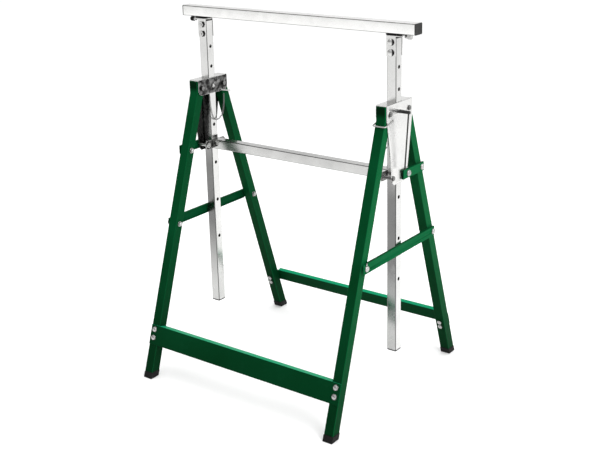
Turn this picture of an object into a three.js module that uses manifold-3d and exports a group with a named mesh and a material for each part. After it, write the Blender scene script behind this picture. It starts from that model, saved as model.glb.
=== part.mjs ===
// Folding sawhorse with a height-adjustable beam.
// X runs along the beam, -Y is the front, +Z is up, millimetres.
// The origin is on the floor, midway between the feet.
// The two ends are alike: the end at -X is the end at +X turned half a turn about Z.
import * as THREE from "three";
import { mergeVertices } from "three/addons/utils/BufferGeometryUtils.js";
import Module from "manifold-3d";

const wasm = await Module();
wasm.setup();

// ---- driving dimensions -------------------------------------------------------------------------
const END_X = 280; // post and leg plane of each end
const TUBE = 25; // outside of post, leg and crossbar tube
const WALL = 1.6; // tube wall
const TUBE_CORNER = 2.5; // outer corner radius of the tubes
const GAP = 0.4; // clearance between separate pieces

const BEAM_LENGTH = 686;
const BEAM_WIDTH = 30;
const BEAM_HEIGHT = 26;
const BEAM_BOTTOM = 887.6;
const BEAM_CAP = 2.4; // flange thickness of the beam's end caps
const PLUG_DEPTH = 12; // how far a plastic plug reaches into its tube
const PAD_THICK = 3.2;
const PAD_SPAN = [-14, 22]; // its ends, from the post's middle

const POST_BOTTOM = 120; // lower end of the steel post, above its plastic cap
const POST_TOP = 877;
const HOLE_RADIUS = 4.5; // pin holes in posts and plates
const PIN_Z = 710;
const PITCH = 51; // step of the pin holes
const HOLE_STEPS = [-2, -1, 0, 2, 4, 6, 8]; // steps the beam stands above its present height for each hole

const PIVOT_Y = 41; // leg pivots, each side of the post
const PIVOT_Z = 710.5;
const LEG_SLOPE = 0.3256; // leg's sideways run per millimetre of height
const LEG_HALF = 13.15; // half the leg's width, measured level
const LEG_HEAD_Z = 729.4;
const LEG_BEND_Z = 698; // above this the leg's outer side is upright
const LEG_HEAD_RADIUS = 18.9; // rounding that lets the head turn under its saddle
const FOOT_HEIGHT = 16;
const FOOT_LIP = 0.6; // how far the foot stands out from its tube

const SHEET = 2; // saddle and lower plate sheet
const SADDLE_GAP = 25.8; // between the saddle's two sides
const SADDLE_TOP = 732;
const SADDLE_HALF = 55;
const SKIRT_Z = 686; // where the long side starts to narrow
const LONG_BOTTOM = 541;
const LONG_HALF = 31; // half width of the long side at its foot
const LOWER_BOLT_Y = 29;
const LOWER_BOLT_Z = 558;
const LONG_CHAMFER = 6; // at the long side's foot and shoulders
const SHORT_BOTTOM = 692; // lower edge of the short side
const SHORT_ROUND = 12; // its lower corners
const PLATE_HALF = 37; // half length of the lower plate along Y
const PLATE_SPAN = [547, 570]; // its lower and upper edge
const PLATE_TAB = [9, 580]; // half width and top of the tab in its middle
const PLATE_CHAMFER = 5;

const BOLT_RADIUS = 3.7;
const BOLT_HOLE = 4;
const HEAD_RADIUS = 7;
const HEAD_HEIGHT = 4;

const CROSSBAR_Z = 559; // centre height

const FRONT_BAR_HEIGHT = 50;
const FRONT_BAR_Z = 107.5;
const BACK_BAR_HEIGHT = 33;
const BACK_BAR_Z = 104;
const FRONT_FLANGE = 22; // how far the front bar's flanges reach back between the legs
const BACK_FLANGE = 12; // how far the back bar's flanges reach out behind the legs

const STRUT_Z = 378;
const STRUT_HEIGHT = 24;
const STRUT_DEPTH = 7; // from the edges of its flanges to the outside of its web
const STRUT_ENDS = [-162, 156]; // free end and pivot end along Y
const STRUT_LAYER = 0.8; // distance of its flanges from the legs' outer faces
const FLANGE_END = -141; // the strut's flanges stop here, beside the front leg
const CATCH_SLOT = 4.3; // half the width of the slot that drops over the catch
const LINK_HEIGHT = 22;
const LINK_DEPTH = 6;
const LINK_ENDS = [8, 100];
const CHANNEL_WALL = 1.6;

const PIN_RADIUS = 4;
const PIN_REACH = 42; // outer end of the lock pin from the post's middle
const LEVER_RADIUS = 2.5;
const LEVER_FOOT = [28.5, 574]; // lower end of the lever: distance from the post's middle, height
const WIRE = 2; // bail wire radius
const BAIL_AXIS = [-31, 694]; // Y and Z of the holes in the saddle that the bail turns in
const BAIL_FRONT = [-66, 686]; // Y and Z of its cross piece
const BAIL_HALF = 17.3; // its arms' distance from the post's middle
const BAIL_TIP = 13.3; // its ends' distance from the post's middle
const BAIL_HOLE = 2.6;
const PIN_TIP = 19; // inner end of the lock pin from the post's middle

const BRACKET_DROP = 51; // how far the post bracket reaches below the beam
const CARRIAGE_Z = [868.5, 845];
const CARRIAGE_RADIUS = 8.5;
const SHELF_REACH = 24; // outer edge of the bracket's shelf, from the post's middle
const STOP_SPAN = [24.9, 42]; // ends of the stop, from the post's middle
const STOP_AT = [6, 880.2]; // Y and Z of the stop
const STOP_RADIUS = 4;
const STOP_CAP = [6, 10]; // radius and length of the cap on the stop

const CHAIN_WIRE = 2; // radius of the cord that stands for the chain
const CHAIN_OFF = 3.4; // its distance from the saddle's short side

const ZINC = { color: 0xc9ccca, roughness: 0.3, metalness: 0.95 };
const PIN_STEEL = { color: 0x2a2b2c, roughness: 0.45, metalness: 0.7 };
const GREEN = { color: 0x0f5a38, roughness: 0.5, metalness: 0.1 };
const BLACK = { color: 0x161616, roughness: 0.75, metalness: 0 };

// ---- solids -------------------------------------------------------------------------------------
function toSolid(geometry) {
  const loose = geometry.index ? geometry.toNonIndexed() : geometry;
  const bare = new THREE.BufferGeometry().setAttribute("position", loose.getAttribute("position"));
  const merged = mergeVertices(bare, 1e-4);
  return new wasm.Manifold(
    new wasm.Mesh({
      numProp: 3,
      vertProperties: merged.getAttribute("position").array,
      triVerts: new Uint32Array(merged.index.array),
    }),
  );
}

function block([x0, x1], [y0, y1], [z0, z1]) {
  const geometry = new THREE.BoxGeometry(x1 - x0, y1 - y0, z1 - z0);
  return toSolid(geometry.translate((x0 + x1) / 2, (y0 + y1) / 2, (z0 + z1) / 2));
}

// A round bar along X from x0 to x1.
function rodX(radius, [x0, x1], y, z, sides = 16) {
  const geometry = new THREE.CylinderGeometry(radius, radius, x1 - x0, sides);
  return toSolid(geometry.rotateZ(Math.PI / 2).translate((x0 + x1) / 2, y, z));
}

// A round bar along Y from y0 to y1.
function rodY(radius, [y0, y1], x, z, sides = 16) {
  return toSolid(new THREE.CylinderGeometry(radius, radius, y1 - y0, sides).translate(x, (y0 + y1) / 2, z));
}

function outline(points) {
  return new THREE.Shape(points.map(([u, v]) => new THREE.Vector2(u, v)));
}

function roundedOutline(halfU, halfV, radius) {
  const points = [];
  const steps = 2;
  const corners = [
    [1, 1, 0],
    [-1, 1, 1],
    [-1, -1, 2],
    [1, -1, 3],
  ];
  for (const [su, sv, quarter] of corners) {
    for (let i = 0; i <= steps; i++) {
      const angle = (quarter + i / steps) * (Math.PI / 2);
      points.push([
        su * (halfU - radius) + radius * Math.cos(angle),
        sv * (halfV - radius) + radius * Math.sin(angle),
      ]);
    }
  }
  return outline(points);
}

// A flat outline of [y, z] points, as thick as the X range.
function prismX(shape, [x0, x1]) {
  const geometry = new THREE.ExtrudeGeometry(shape, { depth: x1 - x0, bevelEnabled: false });
  const turn = new THREE.Matrix4().set(0, 0, 1, x0, 1, 0, 0, 0, 0, 1, 0, 0, 0, 0, 0, 1);
  return toSolid(geometry.applyMatrix4(turn));
}

// A flat outline of [x, y] points, standing from z0 to z1.
function prismZ(shape, [z0, z1]) {
  const geometry = new THREE.ExtrudeGeometry(shape, { depth: z1 - z0, bevelEnabled: false });
  return toSolid(geometry.translate(0, 0, z0));
}

// A square tube with rounded corners, along Z, centred on the Z axis.
function tubeZ(width, depth, [z0, z1]) {
  const outer = prismZ(roundedOutline(width / 2, depth / 2, TUBE_CORNER), [z0, z1]);
  const bore = roundedOutline(width / 2 - WALL, depth / 2 - WALL, TUBE_CORNER - WALL);
  return outer.subtract(prismZ(bore, [z0 - 1, z1 + 1]));
}

// A square tube along X, centred on Y = 0 and the given height.
function tubeX(width, height, [x0, x1], z) {
  const outer = prismX(roundedOutline(width / 2, height / 2, TUBE_CORNER), [x0, x1]);
  const bore = roundedOutline(width / 2 - WALL, height / 2 - WALL, TUBE_CORNER - WALL);
  return outer.subtract(prismX(bore, [x0 - 1, x1 + 1])).translate([0, 0, z]);
}

// Round wire along straight runs with rounded bends.
function wire(points, radius, bend) {
  const path = new THREE.CurvePath();
  const corners = points.map((p) => new THREE.Vector3(...p));
  let from = corners[0];
  for (let i = 1; i < corners.length - 1; i++) {
    const back = corners[i - 1].clone().sub(corners[i]).setLength(bend).add(corners[i]);
    const onward = corners[i + 1].clone().sub(corners[i]).setLength(bend).add(corners[i]);
    path.add(new THREE.LineCurve3(from, back));
    path.add(new THREE.QuadraticBezierCurve3(back, corners[i], onward));
    from = onward;
  }
  path.add(new THREE.LineCurve3(from, corners[corners.length - 1]));
  const section = new THREE.Shape().absarc(0, 0, radius, 0, 2 * Math.PI);
  const steps = 7 * corners.length;
  const made = new THREE.ExtrudeGeometry(section, { steps, curveSegments: 4, extrudePath: path });
  return toSolid(made);
}

// A low domed head, on its back at the origin and facing +Z.
function domeHead(radius, height) {
  const rim = 0.3 * height;
  const profile = [[0, 0], [radius, 0], [radius, rim]].map(([r, z]) => new THREE.Vector2(r, z));
  for (const share of [0.5, 1]) {
    const angle = (share * Math.PI) / 2;
    const z = rim + (height - rim) * Math.sin(angle);
    profile.push(new THREE.Vector2(radius * Math.cos(angle), z));
  }
  profile[profile.length - 1].x = 0;
  return toSolid(new THREE.LatheGeometry(profile, 14).rotateX(Math.PI / 2));
}

// A domed bolt head that faces +X.
function headX(x, y, z) {
  return domeHead(HEAD_RADIUS, HEAD_HEIGHT).rotate([0, 90, 0]).translate([x, y, z]);
}

// A bolt along X: domed head beyond x1, hexagonal nut beyond x0.
function boltX([x0, x1], y, z) {
  const head = headX(x1, y, z);
  const nut = rodX(HEAD_RADIUS, [x0 - HEAD_HEIGHT, x0], y, z, 6);
  const shank = rodX(BOLT_RADIUS, [x0 - HEAD_HEIGHT - 1, x1 + 1], y, z);
  return head.add(nut).add(shank);
}

const turned = (solid) => solid.rotate([0, 0, 180]);

// ---- one end, at +X -----------------------------------------------------------------------------
const side = SADDLE_GAP / 2; // inner side of a saddle plate, from the post's middle
const innerSide = [END_X - side - SHEET, END_X - side];
const outerSide = [END_X + side, END_X + side + SHEET];
const acrossEnd = [END_X - side - SHEET - 1, END_X + side + SHEET + 1];
const tubeSpan = [END_X - TUBE / 2, END_X + TUBE / 2];

// The leg's middle line: distance from the centre plane at a height.
const legY = (z) => PIVOT_Y + LEG_SLOPE * (PIVOT_Z - z);
const legCos = 1 / Math.hypot(1, LEG_SLOPE);

function longSideOutline() {
  const right = [
    [LONG_HALF - LONG_CHAMFER, LONG_BOTTOM],
    [LONG_HALF, LONG_BOTTOM + LONG_CHAMFER],
    [SADDLE_HALF - SHEET, SKIRT_Z],
    [SADDLE_HALF, SKIRT_Z + LONG_CHAMFER],
    [SADDLE_HALF, SADDLE_TOP],
  ];
  return outline([...right, ...right.map(([y, z]) => [-y, z]).reverse()]);
}

function shortSideOutline() {
  const right = [];
  for (const angle of [-90, -60, -30, 0]) {
    const turn = THREE.MathUtils.degToRad(angle);
    const y = SADDLE_HALF - SHORT_ROUND + SHORT_ROUND * Math.cos(turn);
    right.push([y, SHORT_BOTTOM + SHORT_ROUND + SHORT_ROUND * Math.sin(turn)]);
  }
  right.push([SADDLE_HALF, SADDLE_TOP]);
  return outline([...right, ...right.map(([y, z]) => [-y, z]).reverse()]);
}

// Inverted U of sheet over the leg heads, with a square opening for the post and a long outer side.
function saddle() {
  const across = [innerSide[0], outerSide[1]];
  const web = block(across, [-SADDLE_HALF, SADDLE_HALF], [SADDLE_TOP - SHEET, SADDLE_TOP]);
  const opening = TUBE / 2 + GAP;
  const notch = block(
    [END_X - opening, END_X + opening],
    [-opening, opening],
    [SADDLE_TOP - SHEET - 1, SADDLE_TOP + 1],
  );
  const sides = prismX(longSideOutline(), outerSide).add(prismX(shortSideOutline(), innerSide));
  let body = sides.add(web).subtract(notch);
  body = body.subtract(rodX(HOLE_RADIUS, acrossEnd, 0, PIN_Z));
  body = body.subtract(rodX(BAIL_HOLE, acrossEnd, ...BAIL_AXIS));
  for (const y of [-1, 1]) {
    body = body.subtract(rodX(BOLT_HOLE, acrossEnd, y * PIVOT_Y, PIVOT_Z));
    body = body.subtract(rodX(BOLT_HOLE, acrossEnd, y * LOWER_BOLT_Y, LOWER_BOLT_Z));
  }
  return body;
}

// Plate that carries the crossbar's end, opposite the saddle's long side.
function lowerPlate() {
  const right = [
    [PLATE_HALF - PLATE_CHAMFER, PLATE_SPAN[0]],
    [PLATE_HALF, PLATE_SPAN[0] + PLATE_CHAMFER],
    [PLATE_HALF, PLATE_SPAN[1] - PLATE_CHAMFER],
    [PLATE_HALF - PLATE_CHAMFER, PLATE_SPAN[1]],
    [PLATE_TAB[0], PLATE_SPAN[1]],
    PLATE_TAB,
  ];
  let body = prismX(outline([...right, ...right.map(([y, z]) => [-y, z]).reverse()]), innerSide);
  for (const y of [-LOWER_BOLT_Y, LOWER_BOLT_Y]) {
    body = body.subtract(rodX(BOLT_HOLE, acrossEnd, y, LOWER_BOLT_Z));
  }
  return body;
}

function legOutline(inset, bottom, top) {
  const half = LEG_HALF - inset / legCos;
  const headRadius = LEG_HEAD_RADIUS - inset;
  const points = [
    [legY(bottom) - half, bottom],
    [legY(bottom) + half, bottom],
    [legY(LEG_BEND_Z) + half, LEG_BEND_Z],
    [legY(LEG_BEND_Z) + half, top],
    [PIVOT_Y, top],
  ];
  for (const angle of [100, 110, 120, 130, 140]) {
    const turn = THREE.MathUtils.degToRad(angle);
    points.push([PIVOT_Y + headRadius * Math.cos(turn), PIVOT_Z + headRadius * Math.sin(turn)]);
  }
  return points;
}

// One leg of the back frame: a square tube, open below, with its pivot hole through the head.
function leg() {
  const outer = prismX(outline(legOutline(0, FOOT_HEIGHT, LEG_HEAD_Z)), tubeSpan);
  const inside = [tubeSpan[0] + WALL, tubeSpan[1] - WALL];
  const bore = prismX(outline(legOutline(WALL, FOOT_HEIGHT - 1, LEG_HEAD_Z - WALL)), inside);
  return outer.subtract(bore).subtract(rodX(BOLT_HOLE, acrossEnd, PIVOT_Y, PIVOT_Z));
}

// Plastic foot: a block under the tube and a plug up inside it.
function foot() {
  const level = (z, half) => [
    [legY(z) - half, z],
    [legY(z) + half, z],
  ];
  const shoeHalf = LEG_HALF + FOOT_LIP;
  const shoe = outline([...level(0, shoeHalf), ...level(FOOT_HEIGHT - GAP, shoeHalf).reverse()]);
  const plugHalf = LEG_HALF - (WALL + GAP) / legCos;
  const plugTop = FOOT_HEIGHT + PLUG_DEPTH;
  const plug = outline([...level(FOOT_HEIGHT - 4, plugHalf), ...level(plugTop, plugHalf).reverse()]);
  const wide = [tubeSpan[0] - FOOT_LIP, tubeSpan[1] + FOOT_LIP];
  const narrow = [tubeSpan[0] + WALL + GAP, tubeSpan[1] - WALL - GAP];
  return prismX(shoe, wide).add(prismX(plug, narrow));
}

// A lower bar of the back frame: a channel whose web lies on the legs' outer faces.
// reach gives where its flanges start and end, measured outward from the web.
function lowerBar({ height, middle, reach }) {
  const span = tubeSpan[0] - GAP; // the flanges run between the legs only
  const along = [-LEG_SLOPE * legCos, legCos]; // up the leg
  const out = [legCos, LEG_SLOPE * legCos]; // away from the leg's outer face
  const face = legY(middle) + LEG_HALF + GAP;
  const at = (u, v) => [face + along[0] * u + out[0] * v, middle + along[1] * u + out[1] * v];
  const half = height / 2;
  const plate = (u0, u1, v0, v1) => outline([at(u0, v0), at(u1, v0), at(u1, v1), at(u0, v1)].reverse());
  const web = prismX(plate(-half, half, 0, CHANNEL_WALL), [-tubeSpan[1], tubeSpan[1]]);
  const top = prismX(plate(half - CHANNEL_WALL, half, ...reach), [-span, span]);
  const bottom = prismX(plate(-half, -half + CHANNEL_WALL, ...reach), [-span, span]);
  return web.add(top).add(bottom);
}

// A channel along Y that opens toward the frame: flanges from x0, web on the outside at x0 + depth.
function channelY(ends, z, height, x0, depth) {
  const half = height / 2;
  const trough = block(
    [x0 - 1, x0 + depth - CHANNEL_WALL],
    [ends[0] - 1, ends[1] + 1],
    [z - half + CHANNEL_WALL, z + half - CHANNEL_WALL],
  );
  return block([x0, x0 + depth], ends, [z - half, z + half]).subtract(trough);
}

const strutX = tubeSpan[1] + STRUT_LAYER;
const strutSeat = strutX + STRUT_DEPTH + GAP;
const strutPivotY = legY(STRUT_Z);
const linkX = outerSide[1] + GAP;
const linkSeat = linkX + LINK_DEPTH + GAP;
const linkLegY = legY(LOWER_BOLT_Z);

// Strut: its free end is bare web with a slot, open at the top, that sits on the catch.
function strut() {
  const half = STRUT_HEIGHT / 2;
  const through = [strutX - 1, strutSeat];
  const freeFlanges = block(
    [strutX - 1, strutX + STRUT_DEPTH - CHANNEL_WALL],
    [STRUT_ENDS[0] - 1, FLANGE_END],
    [STRUT_Z - half - 1, STRUT_Z + half + 1],
  );
  const slot = block(
    through,
    [-strutPivotY - CATCH_SLOT, -strutPivotY + CATCH_SLOT],
    [STRUT_Z, STRUT_Z + half + 1],
  );
  return channelY(STRUT_ENDS, STRUT_Z, STRUT_HEIGHT, strutX, STRUT_DEPTH)
    .subtract(freeFlanges)
    .subtract(slot)
    .subtract(rodX(CATCH_SLOT, through, -strutPivotY, STRUT_Z))
    .subtract(rodX(BOLT_HOLE, through, strutPivotY, STRUT_Z));
}

// Bolt that stands on a leg's outer face, with its head outside the strut's web.
function strutBolt(y) {
  const shank = rodX(BOLT_RADIUS, [tubeSpan[1] + GAP, strutSeat + 1], y, STRUT_Z);
  return shank.add(headX(strutSeat, y, STRUT_Z));
}

function link() {
  const body = channelY(LINK_ENDS, LOWER_BOLT_Z, LINK_HEIGHT, linkX, LINK_DEPTH);
  return body.subtract(rodX(BOLT_HOLE, [linkX, linkSeat], LOWER_BOLT_Y, LOWER_BOLT_Z));
}

// Lower bolt on the link's side: its shank runs on through the link's web.
function longBolt() {
  return boltX([innerSide[0] - GAP, linkSeat], LOWER_BOLT_Y, LOWER_BOLT_Z);
}

function shortBolt(y, z) {
  return boltX([innerSide[0] - GAP, outerSide[1] + GAP], y, z);
}

// Lock pin with its lever, drawn from the saddle's long side outward.
function lockPin() {
  const start = END_X + side;
  const bar = rodX(PIN_RADIUS, [start, END_X + PIN_REACH], 0, PIN_Z);
  const bendX = END_X + PIN_REACH - PIN_RADIUS;
  const lever = wire(
    [
      [bendX - 6, 0, PIN_Z],
      [bendX, 0, PIN_Z],
      [END_X + LEVER_FOOT[0], 0, LEVER_FOOT[1]],
    ],
    LEVER_RADIUS,
    5,
  );
  return bar.add(lever);
}

function pinTip() {
  return rodX(PIN_RADIUS, [END_X - PIN_TIP, END_X - side], 0, PIN_Z);
}

// Bail of bent wire: a cross piece before the front leg and two arms whose ends turn in the saddle's sides.
function bail() {
  let body = wire(
    [
      [END_X - BAIL_HALF, ...BAIL_AXIS],
      [END_X - BAIL_HALF, ...BAIL_FRONT],
      [END_X + BAIL_HALF, ...BAIL_FRONT],
      [END_X + BAIL_HALF, ...BAIL_AXIS],
    ],
    WIRE,
    6,
  );
  for (const ends of [[-BAIL_HALF - WIRE, -BAIL_TIP], [BAIL_TIP, BAIL_HALF + WIRE]]) {
    body = body.add(rodX(WIRE, [END_X + ends[0], END_X + ends[1]], ...BAIL_AXIS));
  }
  return body;
}

function post() {
  let body = tubeZ(TUBE, TUBE, [POST_BOTTOM, POST_TOP]);
  for (const steps of HOLE_STEPS) {
    body = body.subtract(rodX(HOLE_RADIUS, [-TUBE, TUBE], 0, PIN_Z - steps * PITCH));
  }
  return body.translate([END_X, 0, 0]);
}

function postCap() {
  const half = TUBE / 2;
  const flange = prismZ(roundedOutline(half, half, TUBE_CORNER), [POST_BOTTOM - 3, POST_BOTTOM - GAP]);
  const plugHalf = half - WALL - GAP;
  const plug = prismZ(roundedOutline(plugHalf, plugHalf, 1), [POST_BOTTOM - 2, POST_BOTTOM + PLUG_DEPTH]);
  return flange.add(plug).translate([END_X, 0, 0]);
}

// U bracket that joins post and beam, with a shelf that carries the end stop.
function postBracket() {
  const top = BEAM_BOTTOM - PAD_THICK - 2 * GAP;
  const bottom = BEAM_BOTTOM - BRACKET_DROP;
  const inner = TUBE / 2 + GAP;
  const outer = inner + SHEET;
  const width = [END_X - TUBE / 2, END_X + TUBE / 2];
  const shell = block(width, [-outer, outer], [bottom, top]);
  const cavity = block([width[0] - 1, width[1] + 1], [-inner, inner], [bottom - 1, top - SHEET]);
  const shelf = block([END_X, END_X + SHELF_REACH], [-outer, outer], [top - SHEET, top]);
  let body = shell.subtract(cavity).add(shelf);
  for (const z of CARRIAGE_Z) {
    body = body.subtract(rodY(BOLT_HOLE, [-outer - 1, outer + 1], END_X, z));
  }
  return body;
}

function drilledPost() {
  let body = post();
  for (const z of CARRIAGE_Z) {
    body = body.subtract(rodY(BOLT_HOLE, [-TUBE, TUBE], END_X, z));
  }
  return body;
}

function carriageBolt(z) {
  const face = TUBE / 2 + GAP + SHEET + GAP;
  const shank = rodY(BOLT_RADIUS, [-face - 1, face + HEAD_HEIGHT + 2], END_X, z);
  const head = domeHead(CARRIAGE_RADIUS, HEAD_HEIGHT + 1).rotate([90, 0, 0]).translate([END_X, -face, z]);
  const nut = rodY(HEAD_RADIUS, [face, face + HEAD_HEIGHT + 1], END_X, z, 6);
  return shank.add(head).add(nut);
}

function pad() {
  const half = BEAM_WIDTH / 2 - 1;
  const height = [BEAM_BOTTOM - PAD_THICK - GAP, BEAM_BOTTOM - GAP];
  return block([END_X + PAD_SPAN[0], END_X + PAD_SPAN[1]], [-half, half], height);
}

// End stop: a short tube under the beam's end with a plastic cap.
function stop() {
  const end = END_X + STOP_SPAN[1];
  const cap = rodX(STOP_CAP[0], [end - STOP_CAP[1], end], ...STOP_AT);
  return rodX(STOP_RADIUS, [END_X + STOP_SPAN[0], end], ...STOP_AT).add(cap);
}

function beamCap() {
  const halfU = BEAM_WIDTH / 2;
  const halfV = BEAM_HEIGHT / 2;
  const start = BEAM_LENGTH / 2 - BEAM_CAP;
  const flange = prismX(roundedOutline(halfU, halfV, TUBE_CORNER), [start + GAP, BEAM_LENGTH / 2]);
  const inset = WALL + GAP;
  const plug = prismX(roundedOutline(halfU - inset, halfV - inset, 1), [start - PLUG_DEPTH, start + 1]);
  return flange.add(plug).translate([0, 0, BEAM_BOTTOM + halfV]);
}

// Lanyard chain from the saddle's short side down and back up to the bail's inner arm.
function chain() {
  const x = innerSide[0] - CHAIN_OFF;
  const points = [
    [x, 19, 686],
    [x, 18, 666],
    [x, 11, 634],
    [x, 0, 622],
    [x, -14, 622],
    [x, -28, 634],
    [x, -35, 658],
    [x, -36, 684],
  ];
  const path = new THREE.CatmullRomCurve3(points.map((p) => new THREE.Vector3(...p)));
  const section = new THREE.Shape().absarc(0, 0, CHAIN_WIRE, 0, 2 * Math.PI);
  return toSolid(new THREE.ExtrudeGeometry(section, { steps: 24, curveSegments: 3, extrudePath: path }));
}

// ---- the assembly -------------------------------------------------------------------------------
const sawhorse = new THREE.Group();
sawhorse.name = "folding_sawhorse";

function put(name, solid, look) {
  const made = solid.getMesh();
  const geometry = new THREE.BufferGeometry();
  const stride = made.numProp;
  const positions = new Float32Array(made.numVert * 3);
  for (let i = 0; i < made.numVert; i++) {
    positions.set(made.vertProperties.subarray(i * stride, i * stride + 3), i * 3);
  }
  geometry.setAttribute("position", new THREE.BufferAttribute(positions, 3));
  geometry.setIndex(new THREE.BufferAttribute(new Uint32Array(made.triVerts), 1));
  const flat = geometry.toNonIndexed();
  flat.computeVertexNormals();
  const mesh = new THREE.Mesh(flat, new THREE.MeshStandardMaterial(look));
  mesh.name = name;
  sawhorse.add(mesh);
}

// Both copies of a piece that each end has.
function putPair(name, solid, look) {
  put(`${name}_R`, solid, look);
  put(`${name}_L`, turned(solid), look);
}

putPair("saddle", saddle(), ZINC);
putPair("lower_plate", lowerPlate(), ZINC);
putPair("front_pivot_bolt", shortBolt(-PIVOT_Y, PIVOT_Z), ZINC);
putPair("back_pivot_bolt", shortBolt(PIVOT_Y, PIVOT_Z), ZINC);
putPair("plain_lower_bolt", shortBolt(-LOWER_BOLT_Y, LOWER_BOLT_Z), ZINC);
putPair("link_lower_bolt", longBolt(), ZINC);
putPair("chain", chain(), ZINC);

const crossbarEnd = innerSide[0] - GAP;
put("crossbar", tubeX(TUBE, TUBE, [-crossbarEnd, crossbarEnd], CROSSBAR_Z), ZINC);

const backRight = leg().subtract(rodX(BOLT_HOLE, [tubeSpan[1] - 4, tubeSpan[1] + 1], strutPivotY, STRUT_Z));
const backLeft = leg().mirror([1, 0, 0]);
put("leg_back_R", backRight, GREEN);
put("leg_front_L", turned(backRight), GREEN);
put("leg_back_L", backLeft, GREEN);
put("leg_front_R", turned(backLeft), GREEN);
put("foot_back_R", foot(), BLACK);
put("foot_front_L", turned(foot()), BLACK);
put("foot_back_L", foot().mirror([1, 0, 0]), BLACK);
put("foot_front_R", turned(foot().mirror([1, 0, 0])), BLACK);
const backBar = {
  height: BACK_BAR_HEIGHT,
  middle: BACK_BAR_Z,
  reach: [0, BACK_FLANGE],
};
const frontBar = {
  height: FRONT_BAR_HEIGHT,
  middle: FRONT_BAR_Z,
  reach: [-FRONT_FLANGE, 1],
};
put("lower_bar_back", lowerBar(backBar), GREEN);
put("lower_bar_front", turned(lowerBar(frontBar)), GREEN);

putPair("strut", strut(), GREEN);
putPair("strut_bolt", strutBolt(strutPivotY), ZINC);
putPair("strut_catch", strutBolt(-strutPivotY), ZINC);
putPair("link", link(), GREEN);
putPair("link_bolt", headX(linkSeat, linkLegY, LOWER_BOLT_Z), ZINC);

putPair("lock_pin", lockPin(), PIN_STEEL);
putPair("lock_pin_tip", pinTip(), PIN_STEEL);
putPair("bail", bail(), ZINC);

const beamEnd = BEAM_LENGTH / 2 - BEAM_CAP;
put("beam", tubeX(BEAM_WIDTH, BEAM_HEIGHT, [-beamEnd, beamEnd], BEAM_BOTTOM + BEAM_HEIGHT / 2), ZINC);
putPair("beam_cap", beamCap(), BLACK);
putPair("pad", pad(), BLACK);
putPair("post", drilledPost(), ZINC);
putPair("post_cap", postCap(), BLACK);
putPair("post_bracket", postBracket(), ZINC);
putPair("upper_carriage_bolt", carriageBolt(CARRIAGE_Z[0]), ZINC);
putPair("lower_carriage_bolt", carriageBolt(CARRIAGE_Z[1]), ZINC);
putPair("stop", stop(), BLACK);

export default sawhorse;
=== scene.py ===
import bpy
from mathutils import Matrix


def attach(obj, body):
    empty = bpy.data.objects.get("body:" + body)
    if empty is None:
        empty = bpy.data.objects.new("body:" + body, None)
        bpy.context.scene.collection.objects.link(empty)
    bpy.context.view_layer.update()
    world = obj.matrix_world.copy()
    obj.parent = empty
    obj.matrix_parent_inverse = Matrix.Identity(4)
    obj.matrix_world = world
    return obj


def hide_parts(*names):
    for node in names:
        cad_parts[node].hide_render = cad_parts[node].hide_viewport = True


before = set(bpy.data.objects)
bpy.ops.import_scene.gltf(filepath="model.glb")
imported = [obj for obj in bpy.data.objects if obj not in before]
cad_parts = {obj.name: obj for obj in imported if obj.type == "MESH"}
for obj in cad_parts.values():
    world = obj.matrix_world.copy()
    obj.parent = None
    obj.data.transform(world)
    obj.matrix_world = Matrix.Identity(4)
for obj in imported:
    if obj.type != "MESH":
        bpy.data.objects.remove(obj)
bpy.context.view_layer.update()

import math

import bmesh
import bpy
from mathutils import Matrix, Vector

# Folding sawhorse. Metres; X along the beam, -Y is the front, Z up.
# The end at -X is the end at +X turned half a turn about Z.

# ---- sizes repeated from the part ------------------------------------------------------------------
END_X = 0.280
TUBE = 0.025
SADDLE_SIDE = 0.0129
SHEET = 0.002
PIN_Z = 0.710
PIVOT_Y, PIVOT_Z = 0.041, 0.7105
LOWER_BOLT_Y, LOWER_BOLT_Z = 0.029, 0.558
LEG_SLOPE = 0.3256
LEG_HALF = 0.01315
LEG_COS = 1 / math.hypot(1, LEG_SLOPE)
STRUT_Z = 0.378
STRUT_SEAT = END_X + TUBE / 2 + 0.0080
LINK_SEAT = END_X + SADDLE_SIDE + SHEET + 0.0066
BAIL_AXIS, BAIL_FRONT = (-0.031, 0.694), (-0.066, 0.686)
BAIL_HALF, BAIL_TIP = 0.0173, 0.0136
PIN_RADIUS, PIN_REACH, PIN_TIP = 0.004, 0.042, 0.019
LEVER_FOOT = (0.0285, 0.5745)  # distance from the post's middle, height
WIRE_RADIUS = 0.0018
STOP_Y, STOP_Z = 0.006, 0.8802
STOP_ROD, STOP_CAP = (0.0251, 0.0332), (0.0320, 0.0420)  # start and end, from the post's middle
CARRIAGE_Z = (0.8685, 0.845)
BAR_BOLTS = {"front": (0.1205, 0.1005), "back": (0.1085, 0.0950)}
CHAIN_ROUTE = [
    (0.2617, 0.019, 0.686),
    (0.2617, 0.018, 0.666),
    (0.2617, 0.011, 0.634),
    (0.2617, 0.000, 0.622),
    (0.2617, -0.014, 0.622),
    (0.2617, -0.028, 0.634),
    (0.2617, -0.035, 0.658),
    (0.2617, -0.036, 0.684),
]
CHAIN_PITCH = 0.0050
CHAIN_LINK = (0.0074, 0.0046, 0.0013)  # length, width, wire

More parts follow.
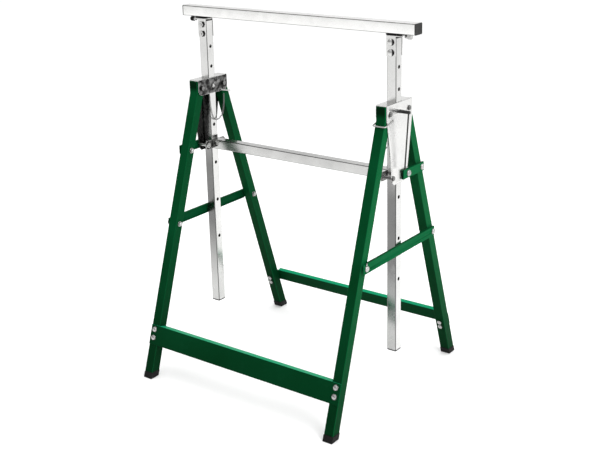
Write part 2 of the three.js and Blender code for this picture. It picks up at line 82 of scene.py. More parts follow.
# ---- fastener sizes ----------------------------------------------------------------------------------
# Heads are (radius, height).
PIVOT_HEAD = (0.0058, 0.0034)
LINK_HEAD = (0.0075, 0.0038)
STRUT_HEAD = (0.0068, 0.0036)
CARRIAGE_HEAD = (0.0083, 0.0052)
BAR_HEAD = (0.0064, 0.0034)
SHANK, BAR_SHANK = 0.0036, 0.003
WASHER_THICK, WASHER_RADIUS = 0.0008, 0.0073
NUT_WASHER = (0.0068, 0.0033)  # radius, bore
NUT = (0.0105, 0.0042)  # across flats, height
THIN_NUT = 0.0036
AIR = 0.0002  # between a seat and the sheet under it
STRUT_GRIP, BAR_GRIP = 0.0078, 0.0274  # shank under the head
BRACKET_SHEET, BAR_WEB = 0.0024, 0.0022
ALONG, FORWARD = (1, 0, 0), (0, -1, 0)


def leg_y(z):
    """Distance of a leg's middle line from the centre plane at height z."""
    return PIVOT_Y + LEG_SLOPE * (PIVOT_Z - z)


# ---- camera ------------------------------------------------------------------------------------------
def make_camera(place, azimuth, pitch, roll, lens, shift):
    """Azimuth and pitch say where the camera looks, in degrees."""
    a, p, r = (math.radians(v) for v in (azimuth, pitch, roll))
    ahead = Vector((-math.sin(a) * math.cos(p), math.cos(a) * math.cos(p), -math.sin(p)))
    level = Vector((math.cos(a), math.sin(a), 0))
    upright = level.cross(ahead)
    right = level * math.cos(r) + upright * math.sin(r)
    up = upright * math.cos(r) - level * math.sin(r)
    turn = Matrix((right, up, -ahead)).transposed().to_4x4()
    camera = bpy.data.cameras.new("camera")
    camera.lens = lens
    camera.shift_x, camera.shift_y = shift
    holder = bpy.data.objects.new("camera", camera)
    holder.matrix_world = Matrix.Translation(place) @ turn
    bpy.context.collection.objects.link(holder)
    bpy.context.scene.camera = holder


make_camera(
    place=(1.5047, -1.9886, 1.2546),
    azimuth=35.98,
    pitch=16.08,
    roll=-1.13,
    lens=63.02,
    shift=(-0.029, -0.099),
)


# ---- materials ---------------------------------------------------------------------------------------
class Look:
    """A Principled material whose colour, roughness and relief come from noise on object coordinates."""

    def __init__(self, name):
        self.material = bpy.data.materials.new(name)
        self.material.use_nodes = True
        self.tree = self.material.node_tree
        self.shader = self.tree.nodes["Principled BSDF"]
        self.place = self.tree.nodes.new("ShaderNodeTexCoord").outputs["Object"]

    def set(self, **values):
        for name, value in values.items():
            self.shader.inputs[name.replace("_", " ")].default_value = value
        return self

    def add(self, kind, **inputs):
        node = self.tree.nodes.new(kind)
        for name, value in inputs.items():
            socket = node.inputs[name]
            if isinstance(value, bpy.types.NodeSocket):
                self.tree.links.new(value, socket)
            else:
                socket.default_value = value
        return node

    def stretched(self, scale):
        return self.add("ShaderNodeMapping", Vector=self.place, Scale=scale).outputs["Vector"]

    def noise(self, scale, detail=3.0, along=None):
        source = self.place if along is None else self.stretched(along)
        return self.add("ShaderNodeTexNoise", Vector=source, Scale=scale, Detail=detail).outputs["Fac"]

    def ramp(self, value, low, high, at=(0.35, 0.65)):
        node = self.add("ShaderNodeValToRGB", Fac=value)
        node.color_ramp.elements[0].position, node.color_ramp.elements[1].position = at
        node.color_ramp.elements[0].color = (*low, 1) if len(low) == 3 else low
        node.color_ramp.elements[1].color = (*high, 1) if len(high) == 3 else high
        return node.outputs["Color"]

    def mixed(self, share, a, b, mode="MIX"):
        node = self.tree.nodes.new("ShaderNodeMix")
        node.data_type = "RGBA"
        node.blend_type = mode
        colour_in = [s for s in node.inputs if s.type == "RGBA"]
        for socket, value in ((node.inputs[0], share), (colour_in[0], a), (colour_in[1], b)):
            if isinstance(value, bpy.types.NodeSocket):
                self.tree.links.new(value, socket)
            else:
                socket.default_value = value if socket.type == "VALUE" else (*value, 1)
        return [s for s in node.outputs if s.type == "RGBA"][0]

    def edges(self, width=0.0008):
        """1 along sharp edges, 0 elsewhere."""
        rounded = self.add("ShaderNodeBevel", Radius=width).outputs["Normal"]
        plain = self.add("ShaderNodeNewGeometry").outputs["Normal"]
        dot = self.tree.nodes.new("ShaderNodeVectorMath")
        dot.operation = "DOT_PRODUCT"
        self.tree.links.new(rounded, dot.inputs[0])
        self.tree.links.new(plain, dot.inputs[1])
        return self.ramp(dot.outputs["Value"], (1, 1, 1), (0, 0, 0), (0.86, 0.985))

    def maths(self, operation, *values):
        node = self.tree.nodes.new("ShaderNodeMath")
        node.operation = operation
        for socket, value in zip(node.inputs, values):
            if isinstance(value, bpy.types.NodeSocket):
                self.tree.links.new(value, socket)
            else:
                socket.default_value = value
        return node.outputs["Value"]

    def axis(self, source, name):
        return self.add("ShaderNodeSeparateXYZ", Vector=source).outputs[name]

    def facing(self, name):
        """Square of the surface normal's part along one axis of the object."""
        part = self.axis(self.place.node.outputs["Normal"], name)
        return self.maths("MULTIPLY", part, part)

    def corners(self, name, at=(0.25, 0.75)):
        """1 on the rolled corners of a tube whose sides face along the named axis, 0 on its sides."""
        square = self.facing(name)
        both = self.maths("MULTIPLY", square, self.maths("SUBTRACT", 1.0, square))
        return self.ramp(self.maths("MULTIPLY", both, 4.0), (0, 0, 0), (1, 1, 1), at)

    def link(self, output, name):
        self.tree.links.new(output, self.shader.inputs[name])
        return self

    def relief(self, height, strength, distance=0.001):
        bump = self.add("ShaderNodeBump", Height=height, Strength=strength, Distance=distance)
        self.tree.links.new(bump.outputs["Normal"], self.shader.inputs["Normal"])
        return self


NONE, FULL = (0, 0, 0), (1, 1, 1)


def even(value):
    return (value, value, value)


def grey(value):
    return (value, value, 0.985 * value)


def zinc(name, dark, bright, rough, along=FULL, corner=None, front_shade=None, inner=None, shade=None):
    """Bright zinc plating: cloudy passivation, fine drawing lines, stains, and painted shade on the rolled
    corners and edges.

    along: how the drawing lines stretch. corner: axis that a tube's sides face.
    dull: tone of the painted shade on a post's front half way up.
    inner: tone of the painted shade on the sheet side that faces the sawhorse's middle, which also gets
    painted reflections in patches; the face towards the post gets a painted shadow.
    shade: axis, sign and tone of a dark side.
    """
    look = Look(name).set(Metallic=1.0)
    tone = look.ramp(look.noise(11, 4), grey(dark), grey(bright), (0.3, 0.7))
    # Painted shade: a post's faces square to Y are dark half way up and lighter towards the top.
    if front_shade:
        height = look.axis(look.place, "Z")
        low = look.ramp(height, grey(0.52), grey(front_shade), (0.16, 0.34))
        painted_front_shade = look.mixed(look.ramp(height, NONE, FULL, (0.50, 0.74)), low, grey(0.68))
        tone = look.mixed(look.ramp(look.facing("Y"), NONE, FULL, (0.4, 0.6)), tone, painted_front_shade)
    # Painted shade on the inner sheet's face towards the middle, with painted reflections in patches, and
    # a painted shadow on the outer sheet's face towards the post.
    if inner:
        distance = look.maths("ABSOLUTE", look.axis(look.place, "X"))
        inside = look.maths("LESS_THAN", distance, END_X - SADDLE_SIDE - SHEET / 2)
        painted_reflection_patches = look.ramp(look.noise(80, 4), grey(0.25 * inner), grey(3.2 * inner), (0.44, 0.66))
        tone = look.mixed(inside, tone, painted_reflection_patches)
        painted_shadow_face = look.maths("COMPARE", distance, END_X + SADDLE_SIDE, 0.0003)
        tone = look.mixed(painted_shadow_face, tone, grey(0.03))
    stain = look.ramp(look.noise(38, 6), NONE, even(0.22), (0.58, 0.72))
    tone = look.mixed(stain, tone, grey(0.72 * dark))
    # Painted shade on rolled corners and sharp edges; the inner sheet's edges get a painted highlight
    # instead.
    if corner:
        tone = look.mixed(look.corners(corner), tone, grey(0.08))
    elif inner:
        rim = look.mixed(inside, grey(0.08), grey(0.85))
        tone = look.mixed(look.edges(0.0011), tone, rim)
    else:
        tone = look.mixed(look.edges(0.0006), tone, grey(0.22))
    if shade:
        side = look.axis(look.place.node.outputs["Normal"], shade[0])
        side = look.maths("MULTIPLY", side, shade[1])
        tone = look.mixed(look.ramp(side, NONE, FULL, (0.28, 0.5)), tone, grey(shade[2]))
    look.link(tone, "Base Color")
    look.link(look.ramp(look.noise(24, 4), even(rough[0]), even(rough[1])), "Roughness")
    return look.relief(look.noise(380, 2, along), 0.05, 0.0002).material


def powder_coat(name, deep, light, corner=None, top=None):
    """Powder coat: orange-peel relief, faint dust, painted highlights on the corners.

    Painted shade makes it darker low down and on faces square to Y, and painted light makes it brighter
    towards +X on faces square to X.
    corner: axis that a tube's sides face. top: colour of the painted highlight on faces that look up.
    """
    look = Look(name).set(Metallic=0.0, Specular_IOR_Level=0.015)
    tone = look.ramp(look.noise(7, 4), deep, light, (0.3, 0.7))
    # Painted light: faces square to X are brighter towards +X.
    sides = look.ramp(look.facing("X"), NONE, FULL, (0.4, 0.6))
    across = look.maths("MULTIPLY_ADD", look.axis(look.place, "X"), 1 / (2 * END_X), 0.5)
    painted_side_light = look.ramp(across, tuple(0.9 * c for c in light), tuple(1.6 * c for c in light), (0.1, 0.9))
    tone = look.mixed(sides, tone, painted_side_light)
    # Painted shade: darker low down.
    low = look.ramp(look.axis(look.place, "Z"), even(0.75), NONE, (0.04, 0.42))
    tone = look.mixed(low, tone, tuple(0.45 * c for c in deep))
    # Painted shade on faces square to Y.
    upright = look.ramp(look.facing("Y"), NONE, even(0.85), (0.93, 0.98))
    tone = look.mixed(upright, tone, tuple(0.15 * c for c in deep))
    dust = look.ramp(look.noise(45, 5), NONE, even(0.04), (0.6, 0.8))
    tone = look.mixed(dust, tone, (0.02, 0.13, 0.07))
    # Painted highlight on the corners and sharp edges.
    corner_highlight = look.corners(corner) if corner else look.edges()
    tone = look.mixed(corner_highlight, tone, tuple(1.5 * c for c in light))
    # Painted highlight on faces that look up.
    if top:
        upward = look.axis(look.place.node.outputs["Normal"], "Z")
        tone = look.mixed(look.ramp(upward, NONE, FULL, (0.8, 0.92)), tone, top)
    look.link(tone, "Base Color")
    look.link(look.ramp(look.noise(60, 3), even(0.34), even(0.48)), "Roughness")
    return look.relief(look.noise(650, 2), 0.16, 0.0004).material


def moulded(name, tone, rough=(0.5, 0.7)):
    """Moulded plastic or rubber with a fine eroded grain and scuffed edges."""
    look = Look(name).set(Metallic=0.0, Specular_IOR_Level=0.12)
    base = look.ramp(look.noise(25, 4), grey(0.7 * tone), grey(tone))
    base = look.mixed(look.edges(), base, grey(2.2 * tone + 0.006))
    look.link(base, "Base Color")
    look.link(look.ramp(look.noise(90, 3), even(rough[0]), even(rough[1])), "Roughness")
    return look.relief(look.noise(1400, 2), 0.3, 0.0003).material


def dark_metal(name):
    """Dark phosphated steel with bright rubbed edges."""
    look = Look(name).set(Metallic=0.5)
    base = look.ramp(look.noise(60, 4), grey(0.010), grey(0.035))
    look.link(look.mixed(look.edges(0.0004), base, grey(0.12)), "Base Color")
    look.link(look.ramp(look.noise(120, 3), even(0.35), even(0.5)), "Roughness")
    return look.relief(look.noise(500, 2), 0.15, 0.0003).material


def floor_look():
    look = Look("floor").set(Roughness=0.9, Specular_IOR_Level=0.1)
    look.link(look.ramp(look.noise(1.2, 2), (0.94, 0.94, 0.94), (0.96, 0.96, 0.96)), "Base Color")
    return look.material


# PLATE's inner tone and POST's dull tone set painted shade; POST, BEAM and RAIL get painted shade on their
# rolled corners.
PLATE = zinc("zinc_plate_bright", 0.68, 0.80, (0.24, 0.34), inner=0.065)
BRACKET = zinc("zinc_bracket", 0.62, 0.76, (0.14, 0.24))
POST = zinc("zinc_post", 0.60, 0.72, (0.16, 0.28), (1, 1, 0.02), corner="X", front_shade=0.18)
BEAM = zinc("zinc_beam", 0.90, 0.96, (0.16, 0.26), (0.02, 1, 1), corner="Y")
RAIL = zinc("zinc_rail", 0.44, 0.60, (0.16, 0.26), (0.02, 1, 1), corner="Y")
FASTENER = zinc("zinc_fastener", 0.32, 0.52, (0.14, 0.26))
CARRIAGE = zinc("zinc_carriage_bolt", 0.50, 0.70, (0.14, 0.26), shade=("X", 1.0, 0.012))
PIVOT = zinc("zinc_pivot_bolt", 0.14, 0.32, (0.14, 0.26), shade=("Y", -1.0, 0.10))
CHAIN = zinc("zinc_chain", 0.14, 0.32, (0.2, 0.35))
LEG_GREEN = powder_coat("green_tube", (0.0006, 0.034, 0.0085), (0.0012, 0.055, 0.0165), corner="X")
GREEN = powder_coat("green_sheet", (0.0006, 0.042, 0.011), (0.0012, 0.062, 0.020))
# The bar's top faces get a painted highlight.
GREEN_BAR = powder_coat(
    "green_bar", (0.0006, 0.042, 0.011), (0.0012, 0.062, 0.020), top=(0.008, 0.26, 0.12)
)
BLACK = moulded("black_plastic", 0.006)
# Painted light: pale plastic for the right stop, the lit copy of the cap that is black at the left end.
PAINTED_LIT_PLASTIC = moulded("painted_lit_plastic", 0.62)
CAP_GREY = moulded("cap_plastic", 0.036)
RUBBER = moulded("rubber_pad", 0.006, (0.7, 0.9))
DARK = dark_metal("dark_steel")


# ---- pieces ------------------------------------------------------------------------------------------
HALF_TURN = Matrix.Rotation(math.pi, 4, "Z")
ENDS = {"R": ("right", Matrix.Identity(4)), "L": ("left", HALF_TURN)}


def show(name, mesh, material, body, slot, *replaced, smooth=35):
    """Turns a bmesh into a piece that rides on a body and may stand for CAD nodes."""
    bmesh.ops.recalc_face_normals(mesh, faces=mesh.faces)
    data = bpy.data.meshes.new(name)
    mesh.to_mesh(data)
    mesh.free()
    data.materials.append(material)
    data.polygons.foreach_set("use_smooth", [True] * len(data.polygons))
    data.set_sharp_from_angle(angle=math.radians(smooth))
    piece = bpy.data.objects.new(name, data)
    bpy.context.collection.objects.link(piece)
    shading = piece.modifiers.new("shading", "WEIGHTED_NORMAL")
    shading.keep_sharp = True
    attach(piece, body)
    if replaced:
        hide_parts(*replaced)
    return piece


def merged(mesh, other, matrix=None):
    """Adds a copy of another bmesh, moved by the matrix, and frees it."""
    data = bpy.data.meshes.new("part")
    other.to_mesh(data)
    other.free()
    if matrix is not None:
        data.transform(matrix)
    mesh.from_mesh(data)
    bpy.data.meshes.remove(data)
    return mesh


SHARP = 50  # degrees, the least bend of an edge that is rounded


def convex(edge, least):
    return len(edge.link_faces) == 2 and edge.calc_face_angle_signed(0) > math.radians(least)


def rolled(mesh, edges, width, segments):
    bmesh.ops.bevel(
        mesh, geom=edges, offset=width, segments=segments, profile=0.5, affect="EDGES", clamp_overlap=True
    )


def softened(node, round_by, break_by=0.00025, longest=0.02):
    """The node's shape with its long outer corners rounded and its other sharp edges slightly broken."""
    mesh = bmesh.new()
    mesh.from_mesh(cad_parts[node].data)
    bmesh.ops.remove_doubles(mesh, verts=mesh.verts, dist=1e-5)
    flat = math.radians(1)
    bmesh.ops.dissolve_limit(mesh, angle_limit=flat, verts=mesh.verts, edges=mesh.edges)
    bmesh.ops.recalc_face_normals(mesh, faces=mesh.faces)
    if round_by:
        long_edges = [e for e in mesh.edges if convex(e, SHARP) and e.calc_length() > longest]
        rolled(mesh, long_edges, round_by, 4)
    if break_by:
        rolled(mesh, [e for e in mesh.edges if convex(e, SHARP)], break_by, 1)
    return mesh


def lathe(profile, sides=32):
    """A solid of revolution about Z from (radius, height) points."""
    mesh = bmesh.new()
    rings = []
    for radius, height in profile:
        if radius < 1e-7:
            rings.append([mesh.verts.new((0, 0, height))])
            continue
        rings.append(
            [
                mesh.verts.new((radius * math.cos(t), radius * math.sin(t), height))
                for t in (2 * math.pi * i / sides for i in range(sides))
            ]
        )
    for low, high in zip(rings, rings[1:]):
        for i in range(sides):
            j = (i + 1) % sides
            if len(low) == 1:
                mesh.faces.new((low[0], high[i], high[j]))
            elif len(high) == 1:
                mesh.faces.new((low[i], low[j], high[0]))
            else:
                mesh.faces.new((low[i], low[j], high[j], high[i]))
    return mesh


def dome(radius, height, sides=32):
    """Carriage-bolt head with a rolled rim, back at z = 0."""
    rim = 0.18 * height
    profile = [(0, 0), (radius * 0.94, 0), (radius, rim * 0.6), (radius * 0.985, rim * 1.4)]
    for i in range(1, 9):
        t = i / 8 * math.pi / 2
        profile.append((radius * 0.985 * math.cos(t), rim * 1.4 + (height - rim * 1.4) * math.sin(t)))
    profile[-1] = (0, height)
    return lathe(profile, sides)


def washer(radius, bore, height):
    """Flat ring with broken outer edges, back at z = 0."""
    edge = 0.2 * height
    return lathe(
        [
            (bore, 0),
            (radius - edge, 0),
            (radius, edge),
            (radius, height - edge),
            (radius - edge, height),
            (bore, height),
            (bore, 0),
        ]
    )


def hex_nut(flats, height, bore=0.0032):
    """Hexagon nut with turned corners and the bolt's end standing in it."""
    mesh = bmesh.new()
    corner = flats / math.cos(math.pi / 6) / 2
    rings = []
    for z, share in ((0, 0.93), (0.12 * height, 1), (0.86 * height, 1), (height, 0.91)):
        rings.append(
            [
                mesh.verts.new((corner * share * math.cos(t), corner * share * math.sin(t), z))
                for t in (math.pi / 3 * i for i in range(6))
            ]
        )
    for low, high in zip(rings, rings[1:]):
        for i in range(6):
            j = (i + 1) % 6
            mesh.faces.new((low[i], low[j], high[j], high[i]))
    mesh.faces.new(rings[0][::-1])
    mesh.faces.new(rings[-1])
    end = 1.22 * height
    thread = [(bore, 0.9 * height), (bore, end - 0.0006), (bore - 0.0007, end), (0, end)]
    return merged(mesh, lathe(thread, 20))


def aimed(point, axis):
    """Moves a shape that faces +Z to a point, facing along axis."""
    turn = Vector((0, 0, 1)).rotation_difference(Vector(axis)).to_matrix().to_4x4()
    return Matrix.Translation(point) @ turn


def bolt(head, nut, axis, size, shank, with_washer=True, nut_height=0.0042):
    """Domed bolt from its head's seat to its nut's seat. size is the head's, shank the shank's radius."""
    radius, head_height = size
    axis = Vector(axis)
    thick = WASHER_THICK if with_washer else 0
    mesh = bmesh.new()
    if with_washer:
        merged(mesh, washer(radius * 1.08, shank, thick), aimed(head, axis))
    merged(mesh, dome(radius, head_height), aimed(Vector(head) + axis * thick, axis))
    length = (Vector(head) - Vector(nut)).length
    merged(mesh, lathe([(0, 0), (shank, 0), (shank, length), (0, length)], 20), aimed(nut, axis))
    merged(mesh, hex_nut(radius * 1.75, nut_height), aimed(nut, -axis))
    return mesh


def wire_mesh(points, radius, sides=14, closed=False):
    """Round wire along a dense line of points, with closed ends or as a ring."""
    mesh = bmesh.new()
    points = [Vector(p) for p in points]
    count = len(points)
    tangents = []
    for i in range(count):
        before = points[i - 1] if i or closed else points[0]
        after = points[(i + 1) % count] if i < count - 1 or closed else points[-1]
        tangents.append((after - before).normalized())
    side = tangents[0].orthogonal().normalized()
    rings = []
    for i, (p, t) in enumerate(zip(points, tangents)):
        if i:
            side = (tangents[i - 1].rotation_difference(t) @ side).normalized()
        side = (side - t * side.dot(t)).normalized()
        other = t.cross(side)
        ring = []
        for k in range(sides):
            a = 2 * math.pi * k / sides
            ring.append(mesh.verts.new(p + side * (radius * math.cos(a)) + other * (radius * math.sin(a))))
        rings.append(ring)
    pairs = list(zip(rings, rings[1:])) + ([(rings[-1], rings[0])] if closed else [])
    for a, b in pairs:
        for k in range(sides):
            j = (k + 1) % sides
            mesh.faces.new((a[k], a[j], b[j], b[k]))
    if not closed:
        mesh.faces.new(rings[0][::-1])
        mesh.faces.new(rings[-1])
    return mesh


def rounded_path(corners, bend, steps=8):
    """Straight runs joined by round bends, as a dense line of points."""
    corners = [Vector(c) for c in corners]
    line = [corners[0]]
    for back, corner, onward in zip(corners, corners[1:], corners[2:]):
        a = corner + (back - corner).normalized() * bend
        b = corner + (onward - corner).normalized() * bend
        for i in range(steps + 1):
            t = i / steps
            line.append(a * (1 - t) ** 2 + corner * 2 * t * (1 - t) + b * t * t)
    line.append(corners[-1])
    return line


# ---- sheet and tube pieces: the CAD shape with rolled corners ----------------------------------------
TUBE_ROUND = 0.0022
FOLD_ROUND = 0.0008
FOOT_ROUND = 0.0015


def dressed(node, body, material, slot, round_by=0, break_by=0.00025, smooth=35):
    """Shows a CAD node's own shape, softened, in its place."""
    shape = softened(node, round_by, break_by)
    return show(f"{node}_skin", shape, material, body, slot, node, smooth=smooth)


for frame_name in ("front", "back"):
    body = f"{frame_name}_frame"
    for end in ENDS:
        dressed(f"leg_{frame_name}_{end}", body, LEG_GREEN, "green_paint", TUBE_ROUND)
        dressed(f"foot_{frame_name}_{end}", body, BLACK, "black_plastic", FOOT_ROUND)
    dressed(f"lower_bar_{frame_name}", body, GREEN_BAR, "green_paint", FOLD_ROUND)

for end, (word, _) in ENDS.items():
    dressed(f"strut_{end}", f"strut_{word}", GREEN, "green_paint", FOLD_ROUND)
    dressed(f"link_{end}", f"link_{word}", GREEN, "green_paint", FOLD_ROUND)
    dressed(f"saddle_{end}", "guide", PLATE, "zinc_plate", round_by=0.0007)
    dressed(f"lower_plate_{end}", "guide", PLATE, "zinc_plate", round_by=0.0004)
    dressed(f"post_{end}", "support", POST, "zinc_plate", break_by=0.0003, smooth=50)
    dressed(f"post_bracket_{end}", "support", BRACKET, "zinc_plate", round_by=0.0009)
    dressed(f"post_cap_{end}", "support", BLACK, "black_plastic")
    dressed(f"pad_{end}", "support", RUBBER, "black_plastic", round_by=0.0006)
    dressed(f"beam_cap_{end}", "support", CAP_GREY, "black_plastic", break_by=0.0004, smooth=50)
dressed("crossbar", "guide", RAIL, "zinc_plate", break_by=0.0003, smooth=50)
dressed("beam", "support", BEAM, "zinc_plate", break_by=0.0003, smooth=50)


# ---- fasteners -----------------------------------------------------------------------------------------
def end_bolt(name, end, body, head, nut, axis, size, look=FASTENER, **more):
    """A bolt that stands for the CAD node of its name, at one end of the sawhorse."""
    turn = ENDS[end][1]
    mesh = merged(bmesh.new(), bolt(head, nut, axis, size, SHANK, **more), turn)
    show(f"{name}_{end}_detail", mesh, look, body, "zinc_plate", f"{name}_{end}", smooth=28)


saddle_out = END_X + SADDLE_SIDE + SHEET
saddle_in = END_X - SADDLE_SIDE - SHEET
for end, (word, turn) in ENDS.items():
    for name, y, z in (
        ("front_pivot_bolt", -PIVOT_Y, PIVOT_Z),
        ("back_pivot_bolt", PIVOT_Y, PIVOT_Z),
        ("plain_lower_bolt", -LOWER_BOLT_Y, LOWER_BOLT_Z),
    ):
        head = (saddle_out + AIR, y, z)
        nut = (saddle_in - AIR, y, z)
        end_bolt(name, end, "guide", head, nut, ALONG, PIVOT_HEAD, nut_height=THIN_NUT, look=PIVOT)
    head = (LINK_SEAT, LOWER_BOLT_Y, LOWER_BOLT_Z)
    nut = (saddle_in - AIR, LOWER_BOLT_Y, LOWER_BOLT_Z)
    end_bolt("link_lower_bolt", end, "guide", head, nut, ALONG, LINK_HEAD, nut_height=THIN_NUT)
    near, far = ("front_frame", "back_frame") if end == "R" else ("back_frame", "front_frame")
    for name, seat, depth, y, z, body, leg_body in (
        ("strut_bolt", STRUT_SEAT, STRUT_GRIP, leg_y(STRUT_Z), STRUT_Z, f"strut_{word}", far),
        ("strut_catch", STRUT_SEAT, STRUT_GRIP, -leg_y(STRUT_Z), STRUT_Z, near, near),
        ("link_bolt", LINK_SEAT, 0, leg_y(LOWER_BOLT_Z), LOWER_BOLT_Z, f"link_{word}", far),
    ):
        mesh = merged(bmesh.new(), washer(WASHER_RADIUS, SHANK, WASHER_THICK), aimed((seat, y, z), ALONG))
        merged(mesh, dome(*STRUT_HEAD), aimed((seat + WASHER_THICK, y, z), ALONG))
        if depth:
            shank = [(0, 0), (SHANK, 0), (SHANK, depth), (0, depth)]
            merged(mesh, lathe(shank, 20), aimed((seat - depth, y, z), ALONG))
        mesh = merged(bmesh.new(), mesh, turn)
        show(f"{name}_{end}_detail", mesh, FASTENER, body, "zinc_plate", f"{name}_{end}", smooth=28)
        nut = merged(bmesh.new(), washer(*NUT_WASHER, WASHER_THICK), aimed((0, 0, 0), (-1, 0, 0)))
        merged(nut, hex_nut(*NUT), aimed((-WASHER_THICK, 0, 0), (-1, 0, 0)))
        place = turn @ Matrix.Translation((END_X - TUBE / 2 - AIR / 2, y, z))
        nut = merged(bmesh.new(), nut, place)
        show(f"{name}_{end}_nut", nut, FASTENER, leg_body, "zinc_plate", smooth=28)
    seat = TUBE / 2 + BRACKET_SHEET + AIR
    for name, z in zip(("upper_carriage_bolt", "lower_carriage_bolt"), CARRIAGE_Z):
        head = (END_X, -seat, z)
        nut = (END_X, seat, z)
        end_bolt(name, end, "support", head, nut, FORWARD, CARRIAGE_HEAD, with_washer=False, look=CARRIAGE)

# Bolts of the lower bars: through each leg, heads on the outer face of the bar's web.
for frame_name, turn in (("back", Matrix.Identity(4)), ("front", HALF_TURN)):
    body = f"{frame_name}_frame"
    for side, x in (("R", END_X), ("L", -END_X)):
        for place, z in zip(("upper", "lower"), BAR_BOLTS[frame_name]):
            out = Vector((0, LEG_COS, LEG_SLOPE * LEG_COS))
            seat = Vector((0, leg_y(z) + LEG_HALF, z)) + out * BAR_WEB
            nut = seat - out * BAR_GRIP
            mesh = bolt(seat, nut, out, BAR_HEAD, BAR_SHANK, nut_height=0.004)
            mesh = merged(bmesh.new(), mesh, Matrix.Translation((x, 0, 0)) @ turn)
            name = f"bar_bolt_{frame_name}_{side}_{place}"
            show(name, mesh, FASTENER, body, "zinc_plate", smooth=28)


# ---- lock pins, bails and stops ------------------------------------------------------------------------
def lock_pin_mesh():
    """Round pin with a chamfered end, and the slim lever that hangs from it."""
    length = PIN_REACH - SADDLE_SIDE
    full, chamfer = PIN_RADIUS, 0.0012
    profile = [(0, 0), (full, 0), (full, length - chamfer), (full - chamfer, length), (0, length)]
    mesh = merged(bmesh.new(), lathe(profile, 28), aimed((END_X + SADDLE_SIDE, 0, PIN_Z), ALONG))
    bend = END_X + PIN_REACH - PIN_RADIUS
    foot = (END_X + LEVER_FOOT[0], 0, LEVER_FOOT[1])
    route = rounded_path([(bend - 0.006, 0, PIN_Z), (bend, 0, PIN_Z), foot], 0.005)
    return merged(mesh, wire_mesh(route, WIRE_RADIUS))


def pin_tip_mesh():
    """The pin's inner end with a chamfer and a groove."""
    length = PIN_TIP - SADDLE_SIDE
    full, groove, end = PIN_RADIUS, 0.0033, 0.0028
    profile = [(0, 0), (end, 0), (full, 0.0012), (full, 0.0018), (groove, 0.0022), (groove, 0.003)]
    profile += [(full, 0.0034), (full, length), (0, length)]
    return merged(bmesh.new(), lathe(profile, 28), aimed((END_X - PIN_TIP, 0, PIN_Z), ALONG))


def bail_mesh():
    """One length of wire: a tip in the saddle, an arm, the cross piece, an arm and the other tip."""
    half, tip = BAIL_HALF, BAIL_TIP
    corners = [
        (END_X - tip, *BAIL_AXIS),
        (END_X - half, *BAIL_AXIS),
        (END_X - half, *BAIL_FRONT),
        (END_X + half, *BAIL_FRONT),
        (END_X + half, *BAIL_AXIS),
        (END_X + tip, *BAIL_AXIS),
    ]
    bends = (0.003, 0.006, 0.006, 0.003)
    path = [Vector(corners[0])]
    for back, corner, onward, bend in zip(corners, corners[1:], corners[2:], bends):
        path += rounded_path((back, corner, onward), bend)[1:-1]
    path.append(Vector(corners[-1]))
    return wire_mesh(path, WIRE_RADIUS)


def stop_rod_mesh():
    """Stub of the stop between the post bracket and the cap."""
    start, end = STOP_ROD
    radius = 0.004
    profile = [(0, 0), (radius, 0), (radius, end - start), (0, end - start)]
    return merged(bmesh.new(), lathe(profile, 24), aimed((END_X + start, STOP_Y, STOP_Z), ALONG))


def stop_cap_mesh():
    """Small plastic knob with a rounded face."""
    start, end = STOP_CAP
    length = end - start
    radius = 0.006
    profile = [(0, 0), (0.0056, 0), (radius, 0.0004), (radius, length - 0.002)]
    profile += [(0.0052, length - 0.0006), (0.0040, length), (0, length)]
    return merged(bmesh.new(), lathe(profile, 28), aimed((END_X + start, STOP_Y, STOP_Z), ALONG))


# The stop is one part at both ends: pale at the right end as painted light, black at the left end as
# painted shade.
for end, (word, turn) in ENDS.items():
    for name, made, look, slot, body in (
        ("lock_pin", lock_pin_mesh, DARK, "dark_steel", f"pin_{word}"),
        ("lock_pin_tip", pin_tip_mesh, FASTENER, "dark_steel", f"pin_{word}"),
        ("bail", bail_mesh, FASTENER, "zinc_plate", f"bail_{word}"),
        ("stop", stop_cap_mesh, PAINTED_LIT_PLASTIC if end == "R" else BLACK, "black_plastic", "support"),
    ):
        mesh = merged(bmesh.new(), made(), turn)
        show(f"{name}_{end}_detail", mesh, look, body, slot, f"{name}_{end}", smooth=50)
    rod = merged(bmesh.new(), stop_rod_mesh(), turn)
    show(f"stop_rod_{end}", rod, FASTENER, "support", "zinc_plate", smooth=50)


# ---- chains --------------------------------------------------------------------------------------------
def smooth_route(points, steps):
    """Catmull-Rom line through the points."""
    points = [Vector(p) for p in points]
    padded = [points[0] * 2 - points[1]] + points + [points[-1] * 2 - points[-2]]
    line = []
    for a, b, c, d in zip(padded, padded[1:], padded[2:], padded[3:]):
        for i in range(steps):
            t = i / steps
            square = 2 * a - 5 * b + 4 * c - d
            cubic = 3 * b - a - 3 * c + d
            line.append(0.5 * (2 * b + (c - a) * t + square * t**2 + cubic * t**3))
    line.append(points[-1])
    return line


def chain_link(length, width, wire):
    """Oval link lying in the XY plane, long way along X."""
    straight = (length - width) / 2
    radius = (width - wire) / 2
    points = []
    for sign in (1, -1):
        for i in range(7):
            t = sign * math.pi / 2 - math.pi * i / 6
            points.append((sign * straight + radius * math.cos(t), radius * math.sin(t), 0))
    return wire_mesh(points, wire / 2, 8, closed=True)


def measured(line):
    return sum((b - a).length for a, b in zip(line, line[1:]))


def chain_mesh(line):
    """Interlocked links, each turned a quarter from the last."""
    total = measured(line)
    count = round(total / CHAIN_PITCH)
    mesh = bmesh.new()
    for n in range(count):
        want = (n + 0.5) * total / count
        walked = 0
        for a, b in zip(line, line[1:]):
            step = (b - a).length
            if walked + step >= want:
                break
            walked += step
        middle = a.lerp(b, (want - walked) / step)
        along = (b - a).normalized()
        side = Vector((1, 0, 0)) - along * along.x
        side.normalize()
        if n % 2:
            side = along.cross(side)
        basis = Matrix((along, side, along.cross(side))).transposed().to_4x4()
        merged(mesh, chain_link(*CHAIN_LINK), Matrix.Translation(middle) @ basis)
    return mesh


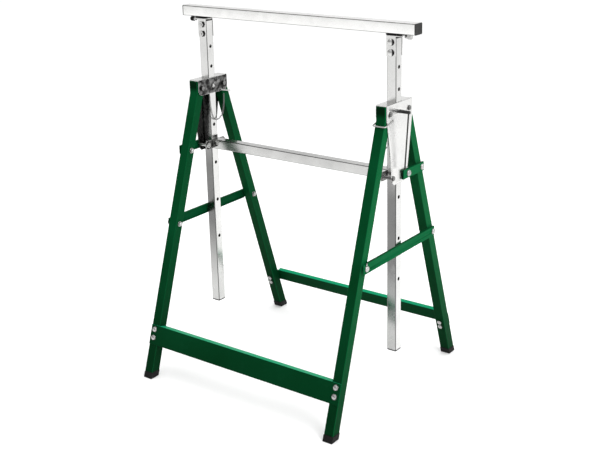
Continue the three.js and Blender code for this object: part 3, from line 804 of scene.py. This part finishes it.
for end, (word, turn) in ENDS.items():
    line = [turn @ p for p in smooth_route(CHAIN_ROUTE, 12)]
    name = f"chain_{end}_links"
    chain = show(name, chain_mesh(line), CHAIN, "guide", "chain_steel", f"chain_{end}", smooth=60)


# ---- floor and light -----------------------------------------------------------------------------------
def make_floor():
    mesh = bmesh.new()
    bmesh.ops.create_circle(mesh, cap_ends=True, segments=64, radius=14)
    data = bpy.data.meshes.new("floor")
    mesh.to_mesh(data)
    mesh.free()
    data.materials.append(floor_look())
    floor = bpy.data.objects.new("floor", data)
    bpy.context.collection.objects.link(floor)


def softbox(name, place, aim, size, power):
    lamp = bpy.data.lights.new(name, "AREA")
    lamp.shape = "RECTANGLE"
    lamp.size, lamp.size_y = size
    lamp.energy = power
    holder = bpy.data.objects.new(name, lamp)
    holder.location = place
    holder.rotation_mode = "QUATERNION"
    holder.rotation_quaternion = (Vector(aim) - Vector(place)).to_track_quat("-Z", "Y")
    bpy.context.collection.objects.link(holder)


def make_world(level, slope):
    """White surroundings, brighter along the slope: right, back and above."""
    world = bpy.data.worlds.new("studio")
    world.use_nodes = True
    tree = world.node_tree
    direction = tree.nodes.new("ShaderNodeTexCoord").outputs["Generated"]
    dot = tree.nodes.new("ShaderNodeVectorMath")
    dot.operation = "DOT_PRODUCT"
    dot.inputs[1].default_value = slope
    total = tree.nodes.new("ShaderNodeMath")
    total.operation = "ADD"
    total.inputs[1].default_value = level
    tree.links.new(direction, dot.inputs[0])
    tree.links.new(dot.outputs["Value"], total.inputs[0])
    background = tree.nodes["Background"]
    background.inputs["Color"].default_value = (1, 1, 1, 1)
    tree.links.new(total.outputs["Value"], background.inputs["Strength"])
    bpy.context.scene.world = world


make_floor()
make_world(0.86, (0.42, 0.18, 0.36))
softbox("key", (2.6, -0.9, 2.6), (0, 0, 0.4), (1.4, 1.4), 40)
softbox("top", (-0.6, 0.6, 3.4), (0, 0, 0.3), (2.4, 2.4), 35)
bpy.context.scene.view_settings.view_transform = "Standard"
